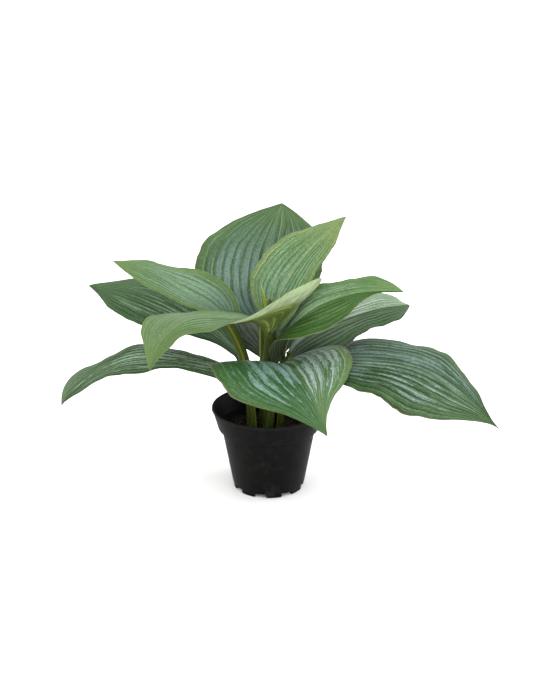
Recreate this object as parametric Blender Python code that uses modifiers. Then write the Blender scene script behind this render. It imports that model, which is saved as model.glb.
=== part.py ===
"""A potted hosta: a black grower pot of soil, with broad ribbed leaves and two young shoots.

Each leaf is one closed solid, from the foot of its stalk in the soil to the tip of its blade.
+Z is up. The pot's axis is the Z axis and its feet stand on z = 0. Sizes are in millimetres.
"""

import math

import bpy
import numpy as np
from mathutils import Matrix

MM = 0.001

POT_HEIGHT = 90.0
RIM_RADIUS = 60.0
BAND_HEIGHT = 23.0
BAND_FOOT_RADIUS = 53.5
WALL_TOP_RADIUS = 49.6
FOOT_RADIUS = 37.6
WALL = 1.6
LIP = 1.2
FLOOR_RISE = 4.6
FLOOR_THICKNESS = 1.8
FOOT_RING_WIDTH = 4.6
FOOT_COUNT = 8
FOOT_ANGLE = 24.0
FIRST_FOOT = -81.0
NOTCH_HEIGHT = 4.1
DRAIN_RADIUS = 2.6
DRAIN_RING = 23.0
POT_STEPS = 48

SOIL_TOP = 67.0
SOIL_DOME = 2.5
SOIL_GAP = 0.35
SOIL_STEPS = 24
DOME_RINGS = (0.0, 0.4, 0.75, 1.0)
HOLE_SIDES = 10
HOLE_GAP = 0.6
HOLE_OVER = 5.0             # how far a hole's cutter stands out over the soil
HOLE_SLANT_AT = 0.13        # share of the stalk's line that sets the hole's slant
STALK_FOOT = 52.0

BLADE_HALF_THICKNESS = 0.36
RIB_HEIGHT = 0.55
TIP_HALF_WIDTH = 0.5
STALK_EDGE = 0.5            # how far the stalk's thin edge stands out past its round core
STALK_TOP_SHARE = 0.7       # thickness of the stalk above its middle, as a share of that below it
MIDRIB_SHARE = 0.75         # the core under the blade's base, as a share of the stalk's radius
MIDRIB_TAPER = 1.2
STALK_REACH = 0.35          # share of the blade over which the stalk's width runs out
CHANNEL_REACH = 0.1         # share of the blade over which its upper face turns flat
OPENING_REACH = 0.03        # share of the blade over which it folds open from the stalk
CLOSING_REACH = 0.06        # share of the blade over which it turns flat again at the tip
LOBE_REACH = 0.45           # share of the blade that the lobes sweep back
LOBE_START = 0.02
LOBE_CURVE = 1.6
DRIP_START = 0.8            # share of the blade past which the tip is drawn out
COLUMNS = 10
SHOOT_COLUMNS = 4
STALK_ROWS = 5
BLADE_ROWS = 13

# heading: the way the leaf points, in degrees from +X.
# line: points down the middle, from the stalk's foot to the tip; the blade starts at the one numbered start.
# half: widest reach of the left and the right half. shape: how fast a half fills out from base and to tip.
# fold and curl: rise of a half at its root, and its further bend, in degrees, from base to tip.
# roll: turn of the whole blade, in degrees. lobe: how far each half reaches back past the base.
# wave: height, number and phase of the waves along the edges. stalk: radius of the stalk.
# drip: how drawn-out the tip is. half, fold, curl and roll take any number of keys, set evenly.
LEAVES = {
    "leaf_back_upright": dict(
        heading=88, start=3, stalk=2.2, drip=0.2, wave=(2.0, 2.5, 0.4),
        line=[(-6, 11), (-6, 14, 105), (-6, 26, 140), (-6, 42, 172), (-4, 62, 216), (3, 78, 254),
              (14, 92, 286)],
        half=((77, 78, 76, 77, 68, 66), (52, 55, 59, 65, 86, 100)),
        shape=((0.6, 0.95), (0.55, 0.72)), lobe=(10, 10), roll=(0, 0, 0),
        fold=((0, 0, 0), (0, 0, 0)), curl=((-8, -12, -10), (-8, -12, -10)),
    ),
    "leaf_upright_right": dict(
        heading=60, start=3, stalk=2.3, drip=0.2, wave=(1.2, 2.0, 2.0),
        line=[(2, 9), (3, 11, 120), (3, 12, 155), (4, 12, 176), (8, 14, 200), (27, 20, 235),
              (52, 28, 263), (80, 36, 286)],
        half=((20, 46, 40, 35, 27, 26), (34, 30, 27, 24, 32, 31)),
        shape=((0.9, 0.95), (0.6, 0.95)), lobe=(8, 8), roll=(0, 0, 0),
        fold=((15, 10, 5), (15, 10, 5)), curl=((-10, -20, -20), (-10, -20, -20)),
    ),
    "leaf_upper_left": dict(
        heading=172, start=3, stalk=3.8, drip=0.3, wave=(1.2, 2.5, 1.0),
        line=[(-16, -1), (-18, 3, 110), (-33, 7, 166), (-46, 9, 186), (-84, 15, 211), (-122, 18, 232),
              (-160, 20, 243)],
        half=((22, 18, 22, 28, 36, 50), (39, 44, 43, 37, 44, 57)),
        shape=((0.6, 0.9), (0.45, 0.9)), lobe=(3, 14), roll=(20, 12, 6),
        fold=((5, 5, 5), (18, 8, 2)), curl=((-10, -20, -20), (-10, -20, -20)),
    ),
    "leaf_mid_left": dict(
        heading=155, start=2, stalk=2.3, drip=0.3, wave=(1.5, 2.5, 0.0),
        line=[(-16, 11), (-21, 13, 110), (-29, 14, 136), (-46, 25, 150), (-90, 50, 171),
              (-145, 75, 187), (-197, 95, 193)],
        half=((8, 15, 24, 38, 41, 43, 37), (53, 52, 51, 49, 47, 44, 42)),
        shape=((0.9, 0.9), (1.1, 0.7)), lobe=(10, 6), roll=(6, 12, 8),
        fold=((5, 5, 5), (5, 8, 5)), curl=((-10, -20, -20), (-10, -20, -20)),
    ),
    "leaf_front_left": dict(
        heading=218, start=3, stalk=3.3, drip=0.1, wave=(1.6, 3.0, 0.0),
        line=[(0, -6), (0, -5, 110), (0, -4, 145), (1, -3, 171), (-8, -8, 184), (-32, -26, 197),
              (-81, -54, 204), (-108, -78, 184), (-116, -84, 161)],
        half=((8, 76, 101, 85, 109, 108, 79, 60, 45, 49, 67, 80, 71), (52, 51, 43, 59, 52, 30)),
        shape=((0.28, 1.3), (1.3, 0.9)), lobe=(-9, 2), roll=(0, 0, 0),
        fold=((41, 0, -8, -9), (23, -9, 5)), curl=((12, 53, -6, -2), (-3, -2, -6)),
    ),
    "leaf_upper_right": dict(
        heading=-5, start=3, stalk=2.4, drip=0.3, wave=(1.2, 2.5, 2.0),
        line=[(12, -4), (10, -1, 115), (12, -1, 136), (14, -2, 146), (26, -4, 179), (48, -7, 201),
              (92, -12, 219), (137, -18, 222)],
        half=((36, 33, 32, 26, 35, 51), (16, 50, 74, 63, 50, 8, 8)),
        shape=((0.6, 0.75), (0.4, 0.9)), lobe=(8, 12), roll=(-8, -16, -10),
        fold=((22, 20, 20), (55, 17, 10)), curl=((-15, -20, -20), (-15, -20, -20)),
    ),
    "leaf_mid_right": dict(
        heading=28, start=3, stalk=2.3, drip=0.6, wave=(1.5, 2.0, 1.0),
        line=[(12, 7), (14, 13, 110), (18, 17, 132), (22, 21, 140), (76, 57, 165), (120, 79, 172),
              (154, 95, 171)],
        half=((24, 18, 17, 20, 31, 54), (60, 60, 45, 37, 42, 48)),
        shape=((1.0, 0.7), (0.45, 0.5)), lobe=(6, 20), roll=(0, 0, 0),
        fold=((5, 22, 40), (6, 4, 4)), curl=((-15, -20, -20), (-15, -20, -20)),
    ),
    "leaf_low_right": dict(
        heading=-25, start=3, stalk=2.4, drip=0.5, wave=(2.0, 3.0, -1.2),
        line=[(8, -12), (14, -11, 100), (26, -12, 130), (48, -16, 141), (108, -36, 153),
              (156, -64, 153), (195, -90, 135), (226, -112, 112)],
        half=((85, 74, 69, 68, 58, 16), (59, 48, 50, 65, 74, 30)),
        shape=((0.4, 0.85), (0.8, 0.92)), lobe=(14, 8), roll=(-3, -3, 0),
        fold=((8, 5, 5), (-8, -8, 0)), curl=((-15, -20, -20), (-20, -22, -20)),
    ),
    "leaf_front": dict(
        heading=-62, start=2, stalk=2.4, drip=0.2, wave=(1.5, 2.0, 3.0),
        line=[(-2, -16), (3, -16, 100), (8, -18, 136), (15, -37, 151), (30, -70, 152), (47, -102, 133),
              (58, -118, 107)],
        half=((18, 61, 70, 68, 47, 32), (82, 83, 83, 80, 56, 46)),
        shape=((0.45, 1.3), (0.45, 0.9)), lobe=(12, 20), roll=(-4, 0, 0),
        fold=((18, 8, 0), (28, 15, 5)), curl=((-10, -15, -20), (-10, -36, -36)),
    ),
    "leaf_low_left": dict(
        heading=182, start=2, stalk=2.3, drip=0.2, wave=(1.5, 3.0, 2.0),
        line=[(-12, -13), (-16, -9, 100), (-25, -6, 126), (-50, 0, 134), (-98, 10, 138),
              (-146, 18, 135), (-191, 24, 112), (-225, 28, 79)],
        half=((38, 17, 13, 23, 22, 19, 13), (21, 23, 31, 38, 26, 38, 80)),
        shape=((0.6, 0.85), (0.6, 0.42)), lobe=(12, 10), roll=(0, 8, 18),
        fold=((-50, 0, 5), (5, 5, 5)), curl=((-15, -20, -20), (-15, -20, -20)),
    ),
    "leaf_back_low": dict(
        heading=97, start=2, stalk=2.3, drip=0.3, wave=(1.5, 2.5, 0.0),
        line=[(4, 17), (4, 24, 100), (3, 36, 127), (0, 52, 142), (-7, 76, 152), (-16, 102, 151),
              (-24, 128, 133)],
        half=(46, 46),
        shape=((1.0, 0.9), (1.0, 0.9)), lobe=(4, 4), roll=(0, 0, 0),
        fold=((2, 5, 5), (2, 5, 5)), curl=((-10, -20, -20), (-10, -20, -20)),
    ),
}

YOUNG_SHOOTS = {
    "young_shoot_tall": dict(
        heading=200, start=4, stalk=1.5, drip=0.0, wave=(0, 1, 0),
        line=[(-6, 1), (-4, 4, 110), (-1, 7, 145), (0.5, 8, 165), (-2, 6, 185), (-5, 3.5, 203),
              (-6.5, 2, 222)],
        half=(3.2, 3.2),
        shape=((0.6, 1.0), (0.6, 1.0)), lobe=(0, 0), roll=(0, 0, 0),
        fold=((50, 50, 10), (50, 50, 10)), curl=((20, 20, 10), (20, 20, 10)),
    ),
    "young_shoot_short": dict(
        heading=-90, start=3, stalk=1.5, drip=0.0, wave=(0, 1, 0),
        line=[(5, 0), (5.5, 0.5, 120), (5.5, 1, 165), (4, 0, 185), (1.5, -1.5, 209)],
        half=(4.5, 4.5),
        shape=((0.6, 1.0), (0.6, 1.0)), lobe=(0, 0), roll=(0, 0, 0),
        fold=((20, 20, 10), (20, 20, 10)), curl=((10, 10, 10), (10, 10, 10)),
    ),
}

LEAF_GREEN = (0.075, 0.165, 0.065)
SHOOT_GREEN = (0.22, 0.30, 0.07)
POT_BLACK = (0.014, 0.014, 0.014)
SOIL_BROWN = (0.035, 0.022, 0.014)


def clear_scene():
    for leftover in list(bpy.data.objects):
        bpy.data.objects.remove(leftover)


def new_collection(name):
    collection = bpy.data.collections.new(name)
    bpy.context.scene.collection.children.link(collection)
    return collection


def plain_material(name, colour, roughness):
    material = bpy.data.materials.new(name)
    material.use_nodes = True
    shader = material.node_tree.nodes["Principled BSDF"]
    shader.inputs["Base Color"].default_value = (*colour, 1.0)
    shader.inputs["Roughness"].default_value = roughness
    shader.inputs["Metallic"].default_value = 0.0
    material.diffuse_color = (*colour, 1.0)
    return material


def object_from(name, points, faces, collection, material=None):
    """A mesh object from points in millimetres."""
    mesh = bpy.data.meshes.new(name)
    mesh.from_pydata([tuple(MM * c for c in point) for point in points], [], faces)
    mesh.update()
    made = bpy.data.objects.new(name, mesh)
    collection.objects.link(made)
    if material:
        mesh.materials.append(material)
    return made


def turned(name, profile, steps, collection, material):
    """A profile of (radius, height) points, turned round the Z axis."""
    edges = [(i, i + 1) for i in range(len(profile) - 1)]
    mesh = bpy.data.meshes.new(name)
    mesh.from_pydata([(r * MM, 0.0, z * MM) for r, z in profile], edges, [])
    mesh.materials.append(material)
    made = bpy.data.objects.new(name, mesh)
    collection.objects.link(made)
    screw = made.modifiers.new("turn", "SCREW")
    screw.steps = steps
    screw.render_steps = steps
    screw.use_merge_vertices = True
    screw.merge_threshold = 0.0001
    screw.use_smooth_shade = True
    return made


def hide_cutter(cutter):
    cutter.hide_render = True
    cutter.display_type = "WIRE"


def cut_with(target, cutters):
    """Cuts every object of the cutters' collection out of the target."""
    cut = target.modifiers.new("cut", "BOOLEAN")
    cut.operation = "DIFFERENCE"
    cut.operand_type = "COLLECTION"
    cut.collection = cutters
    cut.solver = "EXACT"


def smooth_line(points, spots):
    """Points at the given shares of a natural cubic spline through the points, and the points' own shares."""
    points = np.asarray(points, float)
    if points.ndim == 1:
        points = points[:, None]
    count = len(points)
    steps = np.linalg.norm(np.diff(points, axis=0), axis=1) if points.shape[1] > 1 else np.ones(count - 1)
    shares = np.concatenate([[0.0], np.cumsum(steps)])
    system = np.eye(count)
    right_side = np.zeros_like(points)
    for i in range(1, count - 1):
        system[i, i - 1:i + 2] = steps[i - 1], 2 * (steps[i - 1] + steps[i]), steps[i]
        bend = (points[i + 1] - points[i]) / steps[i] - (points[i] - points[i - 1]) / steps[i - 1]
        right_side[i] = 6 * bend
    second = np.linalg.solve(system, right_side)
    at = np.asarray(spots) * shares[-1]
    k = np.clip(np.searchsorted(shares, at, side="right") - 1, 0, count - 2)
    after = (shares[k + 1] - at)[:, None]
    before = (at - shares[k])[:, None]
    step = steps[k][:, None]
    line = (second[k] * after**3 + second[k + 1] * before**3) / (6 * step)
    line += (points[k] / step - second[k] * step / 6) * after
    line += (points[k + 1] / step - second[k + 1] * step / 6) * before
    return line, shares / shares[-1]


def between(keys, along):
    """A smooth curve through keys set evenly from the blade's base to its tip."""
    return smooth_line(keys, along)[0][:, 0]


def keyed(value, along):
    """A plain number, or keys from base to tip as between reads them."""
    return between(value, along) if isinstance(value, tuple) else value


def fullness(shape, along, drip):
    """Half width of the blade, from 0 at its base through 1 at its widest to 0 at its drawn-out tip."""
    base_power, tip_power = shape
    widest = base_power / (base_power + tip_power)
    inside = np.clip(along, 1e-6, 1 - 1e-6)
    reach = (inside / widest) ** base_power * ((1 - inside) / (1 - widest)) ** tip_power
    reach *= 1 - drip * np.clip((inside - DRIP_START) / (1 - DRIP_START), 0, 1) ** 1.5
    return np.where((along <= 0) | (along >= 1), 0.0, reach)


def stalk_line(leaf):
    foot = leaf["line"][0]
    return [(foot[0], foot[1], STALK_FOOT)] + leaf["line"][1:]


def leaf_frames(leaf, stalk_rows, blade_rows):
    """Rows along a leaf: place, way along, way to the right, way up, and share of the blade."""
    line = stalk_line(leaf)
    blade_start = smooth_line(line, [0.0])[1][leaf["start"]]
    even = np.linspace(0, 1, blade_rows + 1)
    eased = 0.5 * even + 0.25 * (1 - np.cos(math.pi * even))
    stalk_part = np.linspace(0, blade_start, stalk_rows + 1)[:-1]
    spots = np.concatenate([stalk_part, blade_start + (1 - blade_start) * eased])
    place = smooth_line(line, spots)[0]
    nudge = 1e-4
    ahead = smooth_line(line, np.clip(spots + nudge, 0, 1))[0]
    behind = smooth_line(line, np.clip(spots - nudge, 0, 1))[0]
    along = ahead - behind
    along /= np.linalg.norm(along, axis=1)[:, None]
    turn = math.radians(leaf["heading"])
    level = np.array([math.sin(turn), -math.cos(turn), 0.0])
    right = level - (along @ level)[:, None] * along
    right /= np.linalg.norm(right, axis=1)[:, None]
    up = np.cross(right, along)
    share = np.clip((spots - blade_start) / (1 - blade_start), 0, 1)
    roll = np.radians(between(leaf["roll"], share))[:, None]
    rolled_right = np.cos(roll) * right + np.sin(roll) * up
    rolled_up = np.cos(roll) * up - np.sin(roll) * right
    return place, along, rolled_right, rolled_up, share


def leaf_sheets(leaf, columns):
    """The upper and the lower face of a leaf, as grids of points, rows by columns + 1."""
    place, along, right, up, share = leaf_frames(leaf, STALK_ROWS, BLADE_ROWS)
    rows = len(place)
    upper = np.zeros((rows, columns + 1, 3))
    lower = np.zeros_like(upper)
    stalk = leaf["stalk"]
    slim = stalk * (1 - share) ** MIDRIB_TAPER
    core = np.where(share > 0, slim * MIDRIB_SHARE, stalk)
    top_core = core * STALK_TOP_SHARE * np.clip(1 - share / CHANNEL_REACH, 0, 1)
    opening = np.clip(share / OPENING_REACH, 0, 1) * np.clip((1 - share) / CLOSING_REACH, 0, 1)
    sweep = np.clip(1 - share / LOBE_REACH, 0, 1) ** 2 * np.clip(share / LOBE_START, 0, 1)
    stalk_width = slim * np.clip(1 - share / STALK_REACH, 0, 1)
    middle = columns // 2
    for column in range(columns + 1):
        side = -1 if column < middle else 1
        half = 0 if side < 0 else 1
        out = abs(column - middle) / middle
        blade_width = keyed(leaf["half"][half], share) * fullness(leaf["shape"][half], share, leaf["drip"])
        width = np.hypot(blade_width, stalk_width) + TIP_HALF_WIDTH
        fold = np.radians(between(leaf["fold"][half], share)) * opening
        curl = np.radians(between(leaf["curl"][half], share)) * opening
        curl = np.where(np.abs(curl) < 1e-4, 1e-4, curl)
        lean = fold + curl * out
        reach = width * (np.sin(lean) - np.sin(fold)) / curl
        rise = width * (np.cos(fold) - np.cos(lean)) / curl
        rise += rib_rise(column, middle, columns) * np.sin(math.pi * share) ** 0.5
        rise += edge_wave(leaf["wave"], out, side, share)
        back = leaf["lobe"][half] * out**LOBE_CURVE * sweep
        spot = place + side * reach[:, None] * right + rise[:, None] * up - back[:, None] * along
        if column == middle:
            lean = np.zeros(rows)
        normal = np.cos(lean)[:, None] * up - side * np.sin(lean)[:, None] * right
        round_part = np.sqrt(np.clip(1 - (out * width / (core + STALK_EDGE)) ** 2, 0, 1))
        upper[:, column] = spot + (BLADE_HALF_THICKNESS + top_core * round_part)[:, None] * normal
        lower[:, column] = spot - (BLADE_HALF_THICKNESS + core * round_part)[:, None] * normal
    return upper, lower


def edge_wave(wave, out, side, share):
    """Gentle waves that grow towards the edge, out of step on the two halves."""
    height, count, phase = wave
    return height * out**2 * np.sin(2 * math.pi * count * share + phase + side) * np.sin(math.pi * share)


def rib_rise(column, middle, columns):
    """Ridge and groove by turns across the blade, with none at the midrib or the edges."""
    if column in (0, middle, columns):
        return 0.0
    return RIB_HEIGHT if (column - middle) % 2 else -RIB_HEIGHT


def leaf_solid(name, leaf, columns, collection, material):
    """One closed loft from the foot of the stalk to the tip, split into triangles alike on both faces."""
    upper, lower = leaf_sheets(leaf, columns)
    rows = upper.shape[0]
    wide = columns + 1
    points = np.concatenate([upper.reshape(-1, 3), lower.reshape(-1, 3)])
    below = rows * wide
    middle = columns // 2
    faces = []
    for row in range(rows - 1):
        for column in range(columns):
            a = row * wide + column
            b, c, d = a + 1, a + wide + 1, a + wide
            split = [(a, b, c), (a, c, d)] if column < middle else [(a, b, d), (b, c, d)]
            for triangle in split:
                faces.append(triangle)
                faces.append(tuple(below + corner for corner in reversed(triangle)))
        left, right = row * wide, row * wide + columns
        faces += [(left, left + wide, below + left + wide), (left, below + left + wide, below + left)]
        faces += [(right, below + right + wide, right + wide), (right, below + right, below + right + wide)]
    last = (rows - 1) * wide
    for column in range(columns):
        faces += [(column, below + column, column + 1), (column + 1, below + column, below + column + 1)]
        tip = last + column
        faces += [(tip, tip + 1, below + tip), (tip + 1, below + tip + 1, below + tip)]
    made = object_from(name, points, faces, collection, material)
    made.data.shade_smooth()
    return made


def pot_profile():
    """Down the outside from the lip, under the feet to the middle, then over the floor and up the inside."""
    band_foot = POT_HEIGHT - BAND_HEIGHT
    floor_under = FLOOR_RISE
    floor_top = floor_under + FLOOR_THICKNESS
    return [
        (RIM_RADIUS - WALL, POT_HEIGHT),
        (RIM_RADIUS - 0.3, POT_HEIGHT),
        (RIM_RADIUS, POT_HEIGHT - 0.5),
        (RIM_RADIUS, POT_HEIGHT - 2.2),
        (RIM_RADIUS - LIP, POT_HEIGHT - 3.0),
        (BAND_FOOT_RADIUS, band_foot + 0.8),
        (BAND_FOOT_RADIUS - 0.8, band_foot),
        (WALL_TOP_RADIUS, band_foot - 0.4),
        (FOOT_RADIUS + 0.8, FLOOR_RISE + 1.0),
        (FOOT_RADIUS, FLOOR_RISE),
        (FOOT_RADIUS - 0.4, 0.0),
        (FOOT_RADIUS - FOOT_RING_WIDTH, 0.0),
        (FOOT_RADIUS - FOOT_RING_WIDTH, floor_under),
        (0.0, floor_under),
        (0.0, floor_top),
        (FOOT_RADIUS - WALL, floor_top),
        (WALL_TOP_RADIUS - WALL, band_foot + 1.0),
        (BAND_FOOT_RADIUS - WALL, band_foot + 2.0),
        (RIM_RADIUS - WALL - LIP, POT_HEIGHT - 3.0),
        (RIM_RADIUS - WALL, POT_HEIGHT),
    ]


def make_pot(parts, cutters, material):
    pot = turned("pot", pot_profile(), POT_STEPS, parts, material)
    notch_angle = math.radians(360 / FOOT_COUNT - FOOT_ANGLE)
    ring_middle = FOOT_RADIUS - FOOT_RING_WIDTH / 2
    notch_size = (3 * FOOT_RING_WIDTH, 2 * ring_middle * math.tan(notch_angle / 2), 2 * NOTCH_HEIGHT)
    for number in range(FOOT_COUNT):
        turn = math.radians(FIRST_FOOT + 360 / FOOT_COUNT * (number + 0.5))
        notch = box_cutter(f"foot_notch_{number}", notch_size, cutters)
        notch.location = (ring_middle * math.cos(turn) * MM, ring_middle * math.sin(turn) * MM, 0.0)
        notch.rotation_euler = (0, 0, turn)
        drain = round_cutter(f"drain_{number}", DRAIN_RADIUS, 6 * FLOOR_THICKNESS, cutters)
        drain.location = (DRAIN_RING * math.cos(turn) * MM, DRAIN_RING * math.sin(turn) * MM, FLOOR_RISE * MM)
    cut_with(pot, cutters)
    return pot


def box_cutter(name, size, collection):
    bpy.ops.mesh.primitive_cube_add(size=1)
    box = bpy.context.object
    box.name = name
    box.data.transform(Matrix.Diagonal((size[0] * MM, size[1] * MM, size[2] * MM, 1.0)))
    move_to(box, collection)
    hide_cutter(box)
    return box


def round_cutter(name, radius, length, collection):
    bpy.ops.mesh.primitive_cylinder_add(vertices=HOLE_SIDES, radius=radius * MM, depth=length * MM)
    cutter = bpy.context.object
    cutter.name = name
    move_to(cutter, collection)
    hide_cutter(cutter)
    return cutter


def move_to(made, collection):
    for holder in list(made.users_collection):
        holder.objects.unlink(made)
    collection.objects.link(made)


def soil_profile():
    """Out over the low dome, down the side inside the pot, and across the foot to the middle."""
    floor_top = FLOOR_RISE + FLOOR_THICKNESS + SOIL_GAP
    band_foot = POT_HEIGHT - BAND_HEIGHT
    side_gap = WALL + 2 * SOIL_GAP
    edge_radius = WALL_TOP_RADIUS - side_gap
    edge_height = min(SOIL_TOP - SOIL_DOME, band_foot)
    dome = [(edge_radius * r, SOIL_TOP - (SOIL_TOP - edge_height) * r**2) for r in DOME_RINGS]
    return dome + [(FOOT_RADIUS - side_gap, floor_top), (0.0, floor_top)]


def make_soil(parts, cutters, material, stalks):
    """The soil, with a plain hole for each stalk."""
    soil = turned("soil", soil_profile(), SOIL_STEPS, parts, material)
    for name, leaf in stalks.items():
        line = stalk_line(leaf)
        foot, above = smooth_line(line, [0.0, HOLE_SLANT_AT])[0]
        way = above - foot
        way /= np.linalg.norm(way)
        length = SOIL_TOP - STALK_FOOT + HOLE_OVER
        hole = round_cutter("hole_" + name, leaf["stalk"] + STALK_EDGE + HOLE_GAP, length, cutters)
        middle = foot + way * (length / 2 - SOIL_GAP)
        hole.location = [MM * c for c in middle]
        hole.rotation_euler = (0, math.acos(way[2]), math.atan2(way[1], way[0]))
    cut_with(soil, cutters)
    return soil


def main():
    clear_scene()
    parts = new_collection("potted_hosta")
    pot_cutters = new_collection("pot_cutters")
    soil_cutters = new_collection("soil_cutters")
    for cutters in (pot_cutters, soil_cutters):
        cutters.hide_render = True
    leaf_green = plain_material("leaf_green", LEAF_GREEN, 0.5)
    shoot_green = plain_material("shoot_green", SHOOT_GREEN, 0.5)
    make_pot(parts, pot_cutters, plain_material("pot_black", POT_BLACK, 0.6))
    make_soil(parts, soil_cutters, plain_material("soil_brown", SOIL_BROWN, 0.95), {**LEAVES, **YOUNG_SHOOTS})
    for name, leaf in LEAVES.items():
        leaf_solid(name, leaf, COLUMNS, parts, leaf_green)
    for name, leaf in YOUNG_SHOOTS.items():
        leaf_solid(name, leaf, SHOOT_COLUMNS, parts, shoot_green)


main()
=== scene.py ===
"""The looks of the potted hosta: ribbed leaves with their markings, grower pot, soil and young shoots.

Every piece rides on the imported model's one body and stands for the solid of the same name.
Sizes in the tables are in millimetres, as for a pot 120 mm across; the scene itself is in metres.
"""

import math
import random
import bpy
import numpy as np
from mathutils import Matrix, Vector, noise


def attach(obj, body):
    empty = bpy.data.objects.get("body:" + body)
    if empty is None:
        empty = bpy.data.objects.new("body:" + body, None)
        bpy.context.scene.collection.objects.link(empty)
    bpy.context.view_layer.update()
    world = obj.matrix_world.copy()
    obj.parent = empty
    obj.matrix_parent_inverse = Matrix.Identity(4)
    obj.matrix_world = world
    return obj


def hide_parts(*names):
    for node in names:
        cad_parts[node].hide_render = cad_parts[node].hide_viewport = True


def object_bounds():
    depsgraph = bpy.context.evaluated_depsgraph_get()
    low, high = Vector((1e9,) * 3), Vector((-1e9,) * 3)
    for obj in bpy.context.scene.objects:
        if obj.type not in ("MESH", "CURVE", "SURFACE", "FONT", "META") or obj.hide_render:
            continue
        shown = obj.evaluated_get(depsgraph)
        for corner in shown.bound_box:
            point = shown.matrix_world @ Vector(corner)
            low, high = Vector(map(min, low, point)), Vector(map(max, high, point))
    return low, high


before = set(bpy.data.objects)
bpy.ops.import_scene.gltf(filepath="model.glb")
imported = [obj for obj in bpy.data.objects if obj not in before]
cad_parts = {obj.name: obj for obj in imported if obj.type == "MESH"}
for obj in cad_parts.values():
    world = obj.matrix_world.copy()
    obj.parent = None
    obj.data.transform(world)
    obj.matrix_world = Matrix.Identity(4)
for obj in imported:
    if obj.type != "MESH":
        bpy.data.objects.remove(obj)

SOLID_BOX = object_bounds()
MM = 0.001

# Pot
POT_HEIGHT = 90.0
RIM_RADIUS = 60.0
BAND_HEIGHT = 23.0
BAND_FOOT_RADIUS = 53.5
WALL_TOP_RADIUS = 49.6
FOOT_RADIUS = 37.6
WALL = 1.6
LIP = 1.2
FLOOR_RISE = 4.6
FLOOR_THICKNESS = 1.8
FOOT_RING_WIDTH = 4.6
FOOT_COUNT = 8
FOOT_ANGLE = 24.0
FIRST_FOOT = -81.0
NOTCH_HEIGHT = 4.1
DRAIN_RADIUS = 2.6
DRAIN_RING = 23.0
POT_STEPS = 144
EDGE_SOFTNESS = 0.25
LIP_ARC_POINTS = 9
DRAIN_SIDES = 24

# Soil
SOIL_TOP = 67.0
SOIL_DOME = 2.5
SOIL_RADIUS = 47.2
CRUMBS = 420
BARK_BITS = 70
CRUMB_FACES = 20
BED_DEPTH = 6.0
BED_CELLS = 110

# Leaves
STALK_FOOT = 52.0
BLADE_THICKNESS = 0.5
STALK_EDGE = 0.5
STALK_CHANNEL = 0.55
MIDRIB_SHARE = 0.75
MIDRIB_TAPER = 1.2
STALK_REACH = 0.35
OPENING_REACH = 0.03
CLOSING_REACH = 0.06
LOBE_REACH = 0.45
LOBE_START = 0.02
LOBE_CURVE = 1.6
DRIP_START = 0.8
DRIP_REACH = 0.2
CHANNEL_REACH = 0.08
TIP_HALF_WIDTH = 0.35
RIPPLE = 0.55
THICKEST = 7.0
EASE = 6.0
CLEAR = 0.15
COLUMNS = 80
STALK_ROWS = 24
BLADE_ROWS = 112
ROWS = STALK_ROWS + BLADE_ROWS
STALK_SHARE = STALK_ROWS / ROWS

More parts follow.
